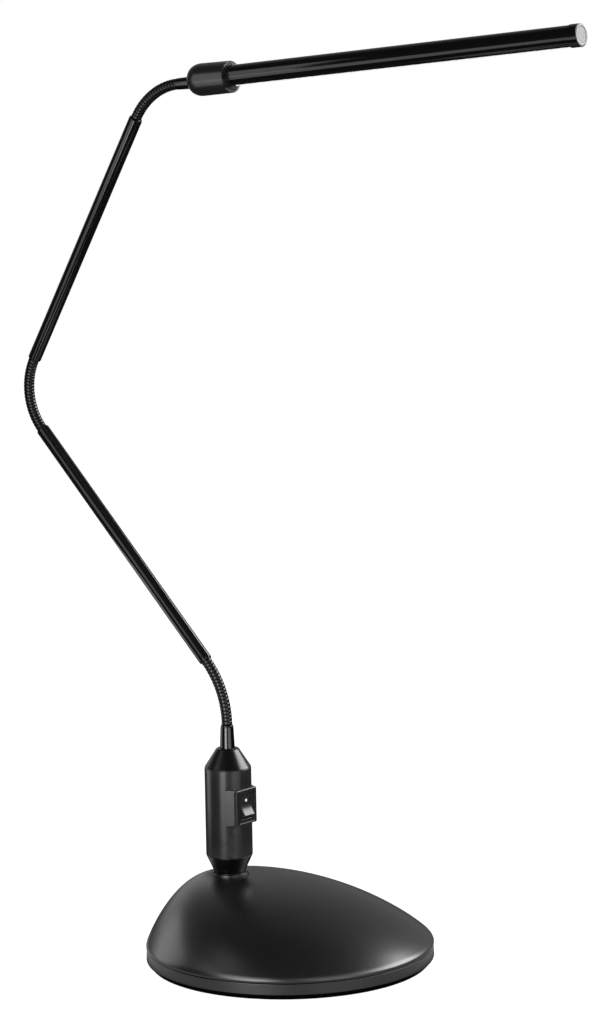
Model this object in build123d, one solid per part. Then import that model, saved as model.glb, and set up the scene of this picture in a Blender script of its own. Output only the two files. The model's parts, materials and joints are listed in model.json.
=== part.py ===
from build123d import *
import math
import os

# Gooseneck desk lamp: a weighted round base, a switch column on a swivel, an arm of two straight
# tubes joined by three flexible coil necks, and a slim LED tube held in a barrel-shaped joint.
# Millimetres and degrees. The origin is the centre of the base on the table, +Z is up, the arm
# lies in the X-Z plane and the LED tube points along +X.

# ---------------------------------------------------------------- base
base_radius = 95.3
foot_pad_height = 1.0          # how far the rubber disc stands out below the pan
foot_pad_radius = 64.0         # stays inside the cover screws
foot_pad_recess = 0.6
pan_floor = 3.0
pan_wall = 2.0
pan_height = 10.3
pan_edge = 3.2                 # rounding of the pan's lower edge
parting_gap = 0.5              # shadow line between pan and cover
cover_side = 2.2               # straight side of the cover above the shadow line
cover_wall = 2.4
cover_rise = 39.4              # height of the dome above its side
cover_top_radius = 13.3        # where the dome meets the column collar
dome_power = 2.08              # shape of the dome's rise, see dome_height()
dome_root = 1.12
dome_sections = 12
cover_lip_height = 2.6
cover_lip_wall = 1.8
collar_radius = 13.0           # raised ring of the cover round the column
collar_height = 1.2
boss_radius = 4.0
boss_circle = 72.0
boss_angles = (0, 120, 240)
swivel_boss_radius = 12.5
swivel_boss_depth = 13.0
ballast_radius = 84.0
ballast_thickness = 6.0
ballast_screw_circle = 50.0
ballast_screw_angles = (60, 180, 300)
cord_bore_radius = 2.2         # lets a round 4 mm mains lead through
grommet_wall = 0.7
grommet_flange = 0.6
grommet_flange_thickness = 0.9
grommet_sleeve = 5.0
cord_slot_width = 12.0
screw_radius = 1.6
screw_depth = 9.0
screw_head_radius = 3.0
screw_head_height = 1.8
screw_slot_width = 0.7
screw_slot_depth = 0.6
screw_sink = 0.2
driver_x = 22.0
tray_size = (52.0, 34.0)
tray_height = 3.0
tray_wall = 1.2
board_size = (48.0, 30.0)
board_thickness = 1.6
transformer_size = (18.0, 15.0, 14.0)
transformer_place = (-12.0, 3.0)
transformer_edge = 1.5
capacitor_radius = 4.0
capacitor_height = 12.0
capacitor_place = (12.0, -7.0)
capacitor_edge = 0.6
terminal_block_size = (10.0, 20.0, 9.0)
terminal_block_x = -34.0
terminal_hole_radius = 1.5
terminal_hole_pitch = 8.0

# ---------------------------------------------------------------- column and switch
column_x = -48.4
column_radius = 15.6
column_wall = 2.2
column_length = 59.4
foot_neck_radius = 11.2
foot_neck_height = 4.2
foot_cone_height = 7.3
foot_spigot_radius = 7.0
foot_spigot_length = 21.8
foot_bore_radius = 4.5
swivel_washer_radius = 12.1
swivel_washer_thickness = 0.6
swivel_bush_wall = 1.9
column_nut_flats = 22.0
column_nut_height = 5.8
column_washer_radius = 11.5
column_washer_thickness = 1.5
cap_top_radius = 7.4
cap_height = 12.8
cap_edge = 1.6
joint_lip = 4.0                # depth of the lips that locate cap and foot in the shell
ferrule_base_radius = 4.95
ferrule_top_radius = 4.3
ferrule_length = 15.6
ferrule_spigot_radius = 3.0
ferrule_spigot_length = 6.0
ferrule_nut_flats = 9.0
ferrule_nut_height = 2.8
switch_turn = -5.0             # the switch faces this far round from the arm's plane
switch_height = 101.0
bezel_width = 20.5
bezel_height = 24.0
bezel_thickness = 2.3
bezel_face = 16.2              # distance of the bezel's face from the column's axis
pad_root_width = 25.7          # the moulded pad where it leaves the cylinder
switch_flange_width = 15.0
switch_flange_height = 21.0
switch_flange_thickness = 1.9
switch_body_width = 13.0
switch_body_height = 19.0
switch_body_depth = 11.4
switch_opening_width = 10.4
switch_opening_height = 16.3
rocker_throw = 28.0            # from one stop to the other
rocker_radius = 8.0            # ends of the rocker swing on this radius
rocker_width = 9.8
rocker_face = 3.2              # distance of each rocker face from the pivot
rocker_back = 2.0
rocker_pivot_radius = 1.2
rocker_dot_radius = 1.0
rocker_dot_place = 4.3         # from the middle of the upper face towards its end
terminal_width = 4.8
terminal_length = 6.5
terminal_thickness = 0.8
terminal_inset = 5.0           # from the switch body's end to the terminal's middle
bezel_edge = 0.5
flange_edge = 0.3
ferrule_edge = 0.8
lead_radius = 0.6

# ---------------------------------------------------------------- arm
arm_tube_radius = 4.5
arm_tube_wall = 0.6
arm_tube_edge = 0.3
arm_plug_length = 8.0
lower_neck_length = 46.0
lower_neck_turn = 42.4         # positive turns lean the arm backwards
lower_tube_length = 200.0
middle_neck_length = 51.4
middle_neck_turn = -71.9
upper_tube_length = 187.1
upper_neck_length = 43.65
upper_neck_turn = -56.1
neck_crest_radius = 3.65       # outside of the coil
neck_valley_radius = 3.15
neck_pitch = 2.7               # one turn of the coil
neck_hinges = 5                # flexing points per neck: bend, sway, bend, sway, bend
neck_ball_radius = 2.3
neck_stem_radius = 1.25
neck_seat = 2.5                # from a ball's seat face to its centre
neck_rim = 0.8                 # a socket's rim reaches this far past the ball's centre
neck_bore_radius = 0.75

# ---------------------------------------------------------------- head
head_ferrule_length = 12.1
head_ferrule_rear_radius = 3.7
head_ferrule_front_radius = 4.1
head_ferrule_drop = 1.2        # the neck enters the barrel this far below its centre line
head_ferrule_grip = 5.0        # length of the spigot inside the barrel's rear wall
barrel_radius = 10.6           # at the rear; it tapers a little towards the front
barrel_front_radius = 10.35
barrel_rear_radius = 5.6
barrel_round_length = 8.2
barrel_length = 30.9
barrel_wall = 2.0
cap_relief = 0.4               # the rear cap's wall narrows by this towards its flat
clear_ring_length = 4.0
clear_ring_chamfer = 2.0
lamp_tube_radius = 6.75
lamp_tube_wall = 0.8
lamp_tube_reach = 257.7        # visible length in front of the clear ring
lamp_tube_tail = 20.0          # length held inside the barrel and ring
lamp_tube_lift = 0.4           # the tube's axis lies this far above the barrel's at its rear
lamp_tube_tilt = 0.7           # and rises by this angle to it
head_bush_length = 15.6
tube_plug_shoulder = 0.8
tube_plug_flange = 2.0
tube_plug_bore = 2.0
tube_plug_length = 10.0
slot_width = 8.0
slot_margin_rear = 0.3         # from the clear ring to the slot
diffuser_proud = 0.55
diffuser_thickness = 1.2
led_board_width = 9.0
led_board_thickness = 1.2
led_board_offset = 1.2         # the board lies this far above the tube's axis
led_first = 9.1                # from the slot's rear end to the first LED
led_pitch = 9.8
led_size = (2.8, 2.8, 0.8)
end_ring_radius = 7.15
end_ring_length = 6.8
end_cap_radius = 6.6
end_cap_thickness = 1.6
end_cap_spigot = 3.0
end_cap_proud = 0.3
end_cap_edge = 0.25

# ---------------------------------------------------------------- clearances
fit = 0.05                     # radial play of pieces that locate or turn in each other
ball_fit = 0.08
seat_gap = 0.1
play = 0.3

# ---------------------------------------------------------------- heights that follow
pan_bottom = foot_pad_height
pan_floor_top = pan_bottom + pan_floor
pan_top = pan_bottom + pan_height
cover_bottom = pan_top + parting_gap
dome_bottom = cover_bottom + cover_side
dome_top = dome_bottom + cover_rise
collar_top = dome_top + collar_height
foot_bottom = collar_top + swivel_washer_thickness
foot_cone_bottom = foot_bottom + foot_neck_height
shell_bottom = foot_cone_bottom + foot_cone_height
shell_top = shell_bottom + column_length
cap_top = shell_top + cap_height
ferrule_top = cap_top + ferrule_length
swivel_boss_bottom = dome_top - swivel_boss_depth
shell_bore_radius = column_radius - column_wall
pad_face = bezel_face - bezel_thickness
switch_face = pad_face + switch_flange_thickness
rocker_pivot_x = switch_face - rocker_face
cord_height = pan_floor_top + cord_bore_radius + grommet_wall + grommet_flange + seat_gap
barrel_bore_radius = barrel_front_radius - barrel_wall
ring_front = barrel_length + clear_ring_length
tube_rear = ring_front - lamp_tube_tail
tube_front = ring_front + lamp_tube_reach
upright = 90.0
UP = (Align.CENTER, Align.CENTER, Align.MIN)


# ---------------------------------------------------------------- helpers
def rod(radius, low, high):
    """A round bar along Z."""
    return Pos(0, 0, low) * Cylinder(radius, high - low, align=UP)


def tube(outer, inner, low, high):
    """A round tube along Z."""
    return rod(outer, low, high) - rod(inner, low - 1, high + 1)


def turned(points):
    """A solid of revolution about Z from (radius, height) points."""
    return revolve(Plane.XZ * make_face(Polyline(*points, close=True)), axis=Axis.Z)


def block(x0, x1, width, height, middle):
    """A box from x0 to x1, centred on Y, with its Z centre at middle."""
    return Pos((x0 + x1) / 2, 0, middle) * Box(x1 - x0, width, height)


def hexagon(flats, radius, low, high):
    """A hexagon nut along Z with a plain bore."""
    outline = RegularPolygon(flats / 2, 6, major_radius=False)
    return Pos(0, 0, low) * extrude(outline, high - low) - rod(radius, low - 1, high + 1)


def round_places(radius, angles):
    """Positions on a circle about Z."""
    return [Pos(radius * math.cos(math.radians(a)), radius * math.sin(math.radians(a)), 0)
            for a in angles]


def group(solids):
    """Separate solids that share one node."""
    return Compound(children=list(solids))


def aimed(point):
    """The frame at (x, z, heading) whose Z runs along the heading and whose Y stays Y."""
    x, z, heading = point
    c, s = math.cos(math.radians(heading)), math.sin(math.radians(heading))
    return Plane(origin=(x, 0, z), x_dir=(s, 0, -c), z_dir=(c, 0, s)).location


def straight(point, length):
    """The point reached by going straight on."""
    x, z, heading = point
    a = math.radians(heading)
    return x + length * math.cos(a), z + length * math.sin(a), heading


def bent(point, length, turn):
    """The point reached along an arc that turns evenly."""
    x, z, heading = point
    half = math.radians(turn) / 2
    chord = length * math.sin(half) / half
    middle = math.radians(heading) + half
    return x + chord * math.cos(middle), z + chord * math.sin(middle), heading + turn


# ---------------------------------------------------------------- the arm's path
neck_lower_start = (column_x, ferrule_top, upright)
lower_tube_start = bent(neck_lower_start, lower_neck_length, lower_neck_turn)
neck_middle_start = straight(lower_tube_start, lower_tube_length)
upper_tube_start = bent(neck_middle_start, middle_neck_length, middle_neck_turn)
neck_upper_start = straight(upper_tube_start, upper_tube_length)
head_neck_end = bent(neck_upper_start, upper_neck_length, upper_neck_turn)
NECKS = {
    "lower": (neck_lower_start, lower_neck_length, lower_neck_turn),
    "middle": (neck_middle_start, middle_neck_length, middle_neck_turn),
    "upper": (neck_upper_start, upper_neck_length, upper_neck_turn),
}


def hinge_points(start, length, turn):
    """The centres of a neck's flexing points, evenly spaced on its arc."""
    step = (length - neck_seat) / (neck_hinges - 1)
    places = [neck_seat + i * step for i in range(neck_hinges)]
    return [bent(start, s, turn * s / length)[:2] for s in places]


def head_origin():
    """The centre of the barrel's rear face; the barrel lies above the neck's end by the drop."""
    x, z, heading = straight(head_neck_end, head_ferrule_length)
    a = math.radians(heading)
    return x - head_ferrule_drop * math.sin(a), z + head_ferrule_drop * math.cos(a), heading


# ---------------------------------------------------------------- base
def dome_height(share):
    """Height of the dome's level whose circle has gone this share of the way to the column."""
    return cover_rise * (1 - (1 - share) ** dome_power) ** (1 / dome_root)


def dome(inset):
    """The dome as a solid. Its circles shrink and shift from the base's centre to the column."""
    sections = []
    for i in range(dome_sections):
        share = i / (dome_sections - 1)
        radius = base_radius + (cover_top_radius - base_radius) * share - inset
        level = dome_bottom + dome_height(share) - inset
        sections.append(Pos(column_x * share, 0, level) * Circle(radius))
    return loft(sections)


def base_cover():
    outer = rod(base_radius, cover_bottom, dome_bottom) + dome(0)
    inner = rod(base_radius - cover_wall, cover_bottom - 1, dome_bottom - cover_wall) + dome(cover_wall)
    shell = outer - inner
    lip_radius = base_radius - pan_wall - fit
    lip = tube(lip_radius, lip_radius - cover_lip_wall, cover_bottom - cover_lip_height,
               cover_bottom + parting_gap)
    lip -= Pos(-base_radius, 0, cord_height) * Box(4 * (pan_wall + cover_lip_wall), cord_slot_width, 3 * cord_height)
    seat = Pos(column_x, 0, 0) * rod(swivel_boss_radius, swivel_boss_bottom, dome_top)
    collar = Pos(column_x, 0, 0) * rod(collar_radius, dome_top - cover_wall, collar_top)
    cover = shell + lip + seat + collar
    inside = rod(base_radius - cover_wall, pan_floor_top, cover_bottom)
    for place in round_places(boss_circle, boss_angles):
        cover += (outer + inside) & (place * rod(boss_radius, pan_floor_top, dome_top))
    for place in round_places(boss_circle, boss_angles):
        cover -= place * rod(screw_radius, pan_floor_top - 1, pan_floor_top + screw_depth)
    bore = foot_spigot_radius + swivel_bush_wall + fit * 2
    return cover - Pos(column_x, 0, 0) * rod(bore, swivel_boss_bottom - 1, collar_top + 1)


def base_pan():
    r = base_radius
    pan = turned([(0, pan_bottom), (r, pan_bottom), (r, pan_top), (r - pan_wall, pan_top),
                  (r - pan_wall, pan_floor_top), (0, pan_floor_top)])
    pan = fillet(pan.edges().group_by(Axis.Z)[0], pan_edge)
    pan -= rod(foot_pad_radius + fit, pan_bottom - 1, pan_bottom + foot_pad_recess)
    for place in round_places(boss_circle, boss_angles):
        pan -= place * rod(screw_radius + fit, 0, pan_floor_top + 1)
        pan -= place * rod(screw_head_radius + play, 0, pan_bottom + screw_sink + screw_head_height)
    for place in round_places(ballast_screw_circle, ballast_screw_angles):
        pan -= place * rod(screw_radius + fit, pan_bottom + screw_sink, pan_floor_top + 1)
    hole = Pos(-r - 1, 0, cord_height) * Rot(0, 90, 0) * rod(cord_bore_radius + grommet_wall, 0, pan_wall + 2)
    return pan - hole


def foot_pad():
    """The rubber disc that the lamp stands on."""
    return rod(foot_pad_radius, 0, pan_bottom + foot_pad_recess)


def screw_slot(level):
    """The cut for a screwdriver in a screw head whose face is at this level."""
    return Pos(0, 0, level) * Box(1.4 * screw_head_radius, screw_slot_width, 2 * screw_slot_depth)


def cover_screws():
    head_low = pan_bottom + screw_sink
    screw = rod(screw_head_radius, head_low, head_low + screw_head_height)
    screw += rod(screw_radius, head_low + screw_head_height, pan_floor_top + screw_depth - play)
    return group(place * (screw - screw_slot(head_low)) for place in round_places(boss_circle, boss_angles))


def ballast_plate():
    top = pan_floor_top + ballast_thickness
    plate = rod(ballast_radius, pan_floor_top, top)
    for place in round_places(boss_circle, boss_angles):
        plate -= place * rod(boss_radius + play, pan_floor_top - 1, top + 1)
    for place in round_places(ballast_screw_circle, ballast_screw_angles):
        plate -= place * rod(screw_radius + fit, pan_floor_top - 1, top + 1)
    slot_end = ballast_screw_circle + screw_head_radius * 2
    slot = block(-ballast_radius - 1, -slot_end, cord_slot_width, 3 * ballast_thickness, top)
    return plate - slot


def ballast_screws():
    top = pan_floor_top + ballast_thickness
    screw = rod(screw_radius, pan_bottom + 1, top) + rod(screw_head_radius, top, top + screw_head_height)
    screw -= screw_slot(top + screw_head_height)
    return group(place * screw for place in round_places(ballast_screw_circle, ballast_screw_angles))


def cord_grommet():
    body = cord_bore_radius + grommet_wall
    flange = body + grommet_flange
    inside = grommet_flange_thickness + pan_wall + fit
    grommet = rod(flange, 0, grommet_flange_thickness)
    grommet += rod(body, 0, inside + grommet_sleeve)
    grommet += rod(flange, inside + seat_gap, inside + seat_gap + grommet_flange_thickness)
    grommet -= rod(cord_bore_radius, -1, inside + grommet_sleeve + 1)
    return Pos(-base_radius - grommet_flange_thickness, 0, cord_height) * Rot(0, 90, 0) * grommet


def driver_tray():
    low = pan_floor_top + ballast_thickness
    tray = Box(*tray_size, tray_height, align=UP)
    tray -= Pos(0, 0, tray_height / 2) * Box(tray_size[0] - 2 * tray_wall, tray_size[1] - 2 * tray_wall,
                                             tray_height, align=UP)
    return Pos(driver_x, 0, low) * tray


def board_level():
    return pan_floor_top + ballast_thickness + tray_height / 2


def driver_board():
    return Pos(driver_x, 0, board_level()) * Box(*board_size, board_thickness, align=UP)


def driver_transformer():
    x, y = transformer_place
    level = board_level() + board_thickness
    core = Box(*transformer_size, align=UP)
    return Pos(driver_x + x, y, level) * fillet(core.edges().filter_by(Axis.Z), transformer_edge)


def driver_capacitor():
    x, y = capacitor_place
    level = board_level() + board_thickness
    can = rod(capacitor_radius, 0, capacitor_height)
    return Pos(driver_x + x, y, level) * fillet(can.edges().sort_by(Axis.Z)[-1:], capacitor_edge)


def terminal_block():
    low = pan_floor_top + ballast_thickness
    body = Box(*terminal_block_size, align=UP)
    for side in (-1, 1):
        y = side * terminal_hole_pitch / 2
        body -= Pos(0, y, terminal_block_size[2] / 2) * Rot(0, 90, 0) * Cylinder(
            terminal_hole_radius, terminal_block_size[0] + 2)
        body -= Pos(0, y, terminal_block_size[2]) * Cylinder(terminal_hole_radius, terminal_block_size[2] / 2)
    return Pos(terminal_block_x, 0, low) * body


def swivel_bush():
    inner = foot_spigot_radius + fit
    return Pos(column_x, 0, 0) * tube(inner + swivel_bush_wall, inner, swivel_boss_bottom, collar_top)


# ---------------------------------------------------------------- column
def on_column(shape):
    return Pos(column_x, 0, 0) * shape


def on_switch(shape):
    """Places a shape drawn with the switch facing +X and the column's axis on Z."""
    return Pos(column_x, 0, 0) * Rot(0, 0, switch_turn) * shape


def swivel_washer():
    return on_column(tube(swivel_washer_radius, foot_spigot_radius + fit, collar_top, foot_bottom))


def column_foot():
    lip_radius = shell_bore_radius - fit
    spigot_low = foot_bottom - foot_spigot_length
    outline = [(foot_bore_radius, spigot_low), (foot_spigot_radius, spigot_low),
               (foot_spigot_radius, foot_bottom), (foot_neck_radius, foot_bottom),
               (foot_neck_radius, foot_cone_bottom), (column_radius, shell_bottom),
               (lip_radius, shell_bottom), (lip_radius, shell_bottom + joint_lip),
               (lip_radius - column_wall, shell_bottom + joint_lip),
               (lip_radius - column_wall, shell_bottom - 1), (foot_bore_radius, foot_cone_bottom)]
    return on_column(turned(outline))


def column_washer():
    high = swivel_boss_bottom - seat_gap
    return on_column(tube(column_washer_radius, foot_spigot_radius + fit,
                          high - column_washer_thickness, high))


def column_nut():
    high = swivel_boss_bottom - seat_gap - column_washer_thickness
    return on_column(hexagon(column_nut_flats, foot_spigot_radius + fit, high - column_nut_height, high))


def column_shell():
    shell = rod(column_radius, shell_bottom, shell_top)
    root = pad_root_width / 2
    root_x = math.sqrt(column_radius ** 2 - root ** 2)
    half = bezel_width / 2
    plan = [(0, -root), (root_x, -root), (pad_face, -half), (pad_face, half), (root_x, root), (0, root)]
    pad = extrude(make_face(Polyline(*plan, close=True)), bezel_height)
    shell += Pos(0, 0, switch_height - bezel_height / 2) * pad
    shell -= block(pad_face, column_radius + 1, bezel_width + 2 * fit, bezel_height + 2 * fit, switch_height)
    shell -= rod(shell_bore_radius, shell_bottom - 1, shell_top + 1)
    shell -= block(0, column_radius + 1, switch_body_width + 2 * fit, switch_body_height + 2 * fit,
                   switch_height)
    return on_switch(shell)


def column_cap():
    lip_radius = shell_bore_radius - fit
    hole = ferrule_spigot_radius + fit
    roof = cap_top - column_wall
    bore = lip_radius - column_wall
    outline = [(hole, cap_top), (cap_top_radius, cap_top), (column_radius, shell_top),
               (lip_radius, shell_top), (lip_radius, shell_top - joint_lip),
               (bore, shell_top - joint_lip), (bore, shell_top),
               (cap_top_radius - column_wall / 2, roof), (hole, roof)]
    cap = turned(outline)
    rim = cap.edges().filter_by(GeomType.CIRCLE).filter_by(
        lambda e: abs(e.radius - cap_top_radius) < 0.01 and abs(e.center().Z - cap_top) < 0.01)
    return on_column(fillet(rim, cap_edge))


def ball_on_seat():
    """A ball on its stem, above a seat face at height 0, with the bore for the lead."""
    return rod(neck_stem_radius, 0, neck_seat) + Pos(0, 0, neck_seat) * Sphere(neck_ball_radius)


def lead_bore(low, high):
    return rod(neck_bore_radius, low, high)


def column_ferrule():
    spigot_low = cap_top - ferrule_spigot_length
    outline = [(0, spigot_low), (ferrule_spigot_radius, spigot_low), (ferrule_spigot_radius, cap_top),
               (ferrule_base_radius, cap_top), (ferrule_top_radius, ferrule_top - ferrule_edge),
               (ferrule_top_radius - ferrule_edge, ferrule_top), (0, ferrule_top)]
    ferrule = turned(outline) + Pos(0, 0, ferrule_top) * ball_on_seat()
    return on_column(ferrule - lead_bore(spigot_low - 1, ferrule_top + 2 * neck_seat + 1))


def ferrule_nut():
    high = cap_top - column_wall
    return on_column(hexagon(ferrule_nut_flats, ferrule_spigot_radius + fit, high - ferrule_nut_height, high))


def switch_bezel():
    plate = block(pad_face, bezel_face, bezel_width, bezel_height, switch_height)
    plate = chamfer(plate.faces().sort_by(Axis.X)[-1].edges(), bezel_edge)
    window = block(pad_face - 1, bezel_face + 1, switch_flange_width + 2 * fit,
                   switch_flange_height + 2 * fit, switch_height)
    return on_switch(plate - window)


def switch_body():
    back = pad_face - switch_body_depth
    body = block(back, pad_face, switch_body_width, switch_body_height, switch_height)
    flange = block(pad_face, switch_face, switch_flange_width, switch_flange_height, switch_height)
    body += chamfer(flange.faces().sort_by(Axis.X)[-1].edges(), flange_edge)
    swing = rocker_radius * math.sin(math.radians(rocker_throw)) + rocker_back
    floor = rocker_pivot_x - swing - play
    body -= block(floor, switch_face + 1, switch_opening_width, switch_opening_height, switch_height)
    pivot = Pos(rocker_pivot_x, 0, switch_height) * Rot(90, 0, 0) * Cylinder(
        rocker_pivot_radius + fit, switch_body_width + 2)
    return on_switch(body - pivot)


def terminal_places():
    return [Pos(0, 0, side * (switch_body_height / 2 - terminal_inset)) for side in (-1, 1)]


def switch_terminals():
    back = pad_face - switch_body_depth
    blade = block(back - terminal_length, back, terminal_width, terminal_thickness, switch_height)
    return group(on_switch(place * blade) for place in terminal_places())


def neutral_rocker_profile():
    """The rocker seen from its side, half-way between its stops, as (x, z) about its pivot."""
    tilt = math.radians(rocker_throw / 2)
    reach = math.sqrt(rocker_radius ** 2 - rocker_face ** 2)
    tip = (rocker_face * math.cos(tilt) + reach * math.sin(tilt),
           reach * math.cos(tilt) - rocker_face * math.sin(tilt))
    valley = rocker_face / math.cos(tilt)
    heel = math.sqrt(rocker_radius ** 2 - rocker_back ** 2)
    arc_middle = (math.sqrt(rocker_radius ** 2 - (heel - 0.1) ** 2), heel - 0.1)
    lines = Polyline((tip[0], -tip[1]), (valley, 0), tip)
    lines += ThreePointArc(tip, arc_middle, (-rocker_back, heel))
    lines += Line((-rocker_back, heel), (-rocker_back, -heel))
    lines += ThreePointArc((-rocker_back, -heel), (arc_middle[0], -arc_middle[1]), (tip[0], -tip[1]))
    return make_face(lines)


def rocker_frame():
    """Turns the neutral rocker to its rest, with the upper end pressed in."""
    return Pos(rocker_pivot_x, 0, switch_height) * Rot(0, -rocker_throw / 2, 0)


def dot_place():
    tilt = rocker_throw / 2
    return Rot(0, tilt, 0) * Pos(rocker_face, 0, rocker_dot_place) * Rot(0, 90, 0)


def switch_rocker():
    rocker = extrude(Plane.XZ * neutral_rocker_profile(), rocker_width / 2, both=True)
    rocker += Rot(90, 0, 0) * Cylinder(rocker_pivot_radius, switch_body_width - play)
    rocker -= dot_place() * rod(rocker_dot_radius + fit, -0.5, 1)
    return on_switch(rocker_frame() * rocker)


def rocker_dot():
    return on_switch(rocker_frame() * dot_place() * rod(rocker_dot_radius, -0.5, 0.05))


def column_leads():
    """One lead rises from the base to the lower terminal, one goes on from the upper to the arm."""
    spread = switch_body_height / 2 - terminal_inset + terminal_thickness / 2
    low = foot_bottom - foot_spigot_length
    high = cap_top - ferrule_spigot_length
    supply = Pos(-foot_bore_radius + 2 * lead_radius, 0, 0) * rod(lead_radius, low, switch_height - spread)
    arm = rod(lead_radius, switch_height + spread, high)
    return group([on_switch(supply), on_switch(arm)])


# ---------------------------------------------------------------- arm
def coil(low, high):
    """A straight stretch of coil: one rounded ridge for each turn."""
    turns = max(1, round((high - low) / neck_pitch))
    step = (high - low) / turns
    ridge = neck_crest_radius
    valley = neck_valley_radius
    outline = Line((0, low), (valley, low))
    for i in range(turns):
        z = low + i * step
        outline += ThreePointArc((valley, z), (ridge, z + step / 2), (valley, z + step))
    outline += Polyline((valley, high), (0, high), (0, low))
    return revolve(Plane.XZ * make_face(outline), axis=Axis.Z)


def socket(shape):
    """Cuts a ball socket about height 0 into a shape."""
    return shape - Sphere(neck_ball_radius + ball_fit)


def neck_link(start, end):
    """A rigid stretch of coil between two flexing points: socket at its start, ball at its end."""
    span = math.hypot(end[0] - start[0], end[1] - start[1])
    heading = math.degrees(math.atan2(end[1] - start[1], end[0] - start[0]))
    seat = span - neck_seat
    link = socket(coil(-neck_rim, seat)) + Pos(0, 0, seat) * ball_on_seat()
    link -= lead_bore(-1, span + neck_ball_radius + 1)
    return aimed((start[0], start[1], heading)) * link


def plug_at_start():
    """The socket plug in a tube's first end; its nose reaches out to the neck."""
    nose = rod(neck_crest_radius, -neck_rim, 0)
    body = rod(arm_tube_radius - arm_tube_wall - fit, 0, arm_plug_length)
    return socket(nose + body) - lead_bore(-1, arm_plug_length + 1)


def plug_at_end(length):
    """The ball plug in a tube's last end."""
    body = rod(arm_tube_radius - arm_tube_wall - fit, length - arm_plug_length, length)
    plug = body + Pos(0, 0, length) * ball_on_seat()
    return plug - lead_bore(length - arm_plug_length - 1, length + 2 * neck_seat + 1)


def arm_tube(point, length):
    pipe = tube(arm_tube_radius, arm_tube_radius - arm_tube_wall, 0, length)
    return aimed(point) * chamfer(pipe.edges().filter_by(
        lambda e: e.geom_type == GeomType.CIRCLE and abs(e.radius - arm_tube_radius) < 0.01), arm_tube_edge)


def arm_tube_plugs(point, length):
    return group(aimed(point) * plug for plug in (plug_at_start(), plug_at_end(length)))


def arm_tube_lead(point, length):
    return aimed(point) * rod(lead_radius, neck_ball_radius + play, length - play)


# ---------------------------------------------------------------- head
def on_head(shape):
    """Places a shape drawn along Z from the barrel's rear face, with its underside towards +X."""
    return aimed(head_origin()) * shape


def on_tube(shape):
    """Places a shape drawn along Z on the lamp tube's axis, from beside the barrel's rear face."""
    return on_head(Pos(-lamp_tube_lift, 0, 0) * Rot(0, -lamp_tube_tilt, 0) * shape)


def head_ferrule():
    spigot = barrel_wall + head_ferrule_grip
    outline = [(0, -neck_rim), (head_ferrule_rear_radius, -neck_rim),
               (head_ferrule_front_radius, head_ferrule_length),
               (ferrule_spigot_radius, head_ferrule_length),
               (ferrule_spigot_radius, head_ferrule_length + spigot), (0, head_ferrule_length + spigot)]
    ferrule = socket(turned(outline)) - lead_bore(-1, head_ferrule_length + spigot + 1)
    return aimed(head_neck_end) * ferrule


def rear_outline():
    """The rounded rear end as points from its flat to the barrel's full radius."""
    steps = 6
    points = []
    for i in range(steps + 1):
        a = math.radians(90 * i / steps)
        r = barrel_rear_radius + (barrel_radius - barrel_rear_radius) * math.sin(a)
        z = barrel_round_length * (1 - math.cos(a))
        points.append((r, z))
    return points


def head_rear_cap():
    inner = barrel_bore_radius
    skin = Spline(*rear_outline())
    outline = skin + Polyline(skin @ 1, (inner - fit, barrel_round_length),
                              (inner - fit, barrel_round_length + joint_lip),
                              (inner - barrel_wall, barrel_round_length + joint_lip),
                              (inner - barrel_wall, barrel_round_length),
                              (barrel_rear_radius - cap_relief, barrel_wall), (0, barrel_wall), (0, 0), skin @ 0)
    cap = revolve(Plane.XZ * make_face(outline), axis=Axis.Z)
    hole = Pos(head_ferrule_drop, 0, 0) * rod(ferrule_spigot_radius + fit, -1, barrel_wall + 1)
    return on_head(cap - hole)


def head_barrel():
    return on_head(turned([(barrel_bore_radius, barrel_round_length), (barrel_radius, barrel_round_length),
                           (barrel_front_radius, barrel_length), (barrel_bore_radius, barrel_length)]))


def head_bush():
    """The friction bush: round in the barrel, with its bore along the tube's axis."""
    bush = rod(barrel_bore_radius - fit, barrel_length - head_bush_length, barrel_length)
    return on_head(bush) - on_tube(rod(lamp_tube_radius + fit, 0, ring_front))


def head_clear_ring():
    outline = [(0, barrel_length), (barrel_front_radius, barrel_length),
               (barrel_front_radius, ring_front - clear_ring_chamfer),
               (barrel_front_radius - clear_ring_chamfer, ring_front), (0, ring_front)]
    return on_head(turned(outline)) - on_tube(rod(lamp_tube_radius + fit * 2, 0, 2 * ring_front))


def slot_start():
    return ring_front + slot_margin_rear


def slot_end():
    return tube_front - end_ring_length


def slot_cutter(width, inner, outer):
    length = slot_end() - slot_start()
    return Pos((inner + outer) / 2, 0, slot_start()) * Box(outer - inner, width, length, align=UP)


def head_tube():
    pipe = tube(lamp_tube_radius, lamp_tube_radius - lamp_tube_wall, tube_rear, tube_front - end_cap_thickness)
    step = rod(lamp_tube_radius + 1, slot_end(), tube_front)
    step -= rod(lamp_tube_radius - lamp_tube_wall / 2, slot_end() - 1, tube_front + 1)
    return on_tube(pipe - step - slot_cutter(slot_width, 0, lamp_tube_radius + 1))


def tube_diffuser():
    """A lens strip in the tube's slot, slightly proud, held by two inner flanges."""
    bore = lamp_tube_radius - lamp_tube_wall - fit
    strip = tube(lamp_tube_radius + diffuser_proud, bore - diffuser_thickness, slot_start() + fit,
                 slot_end() - fit)
    strip &= slot_cutter(slot_width - 2 * fit, 1, lamp_tube_radius + 2)
    flange = tube(bore, bore - diffuser_thickness, slot_start() + fit, slot_end() - fit)
    flange &= slot_cutter(slot_width + 2, 1, lamp_tube_radius + 2)
    return on_tube(strip + flange)


def led_board():
    """The board clips across the tube above its axis, with the LEDs facing the lens."""
    length = slot_end() - slot_start()
    return on_tube(Pos(-led_board_offset - led_board_thickness / 2, 0, slot_start()) * Box(
        led_board_thickness, board_width(), length, align=UP))


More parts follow.
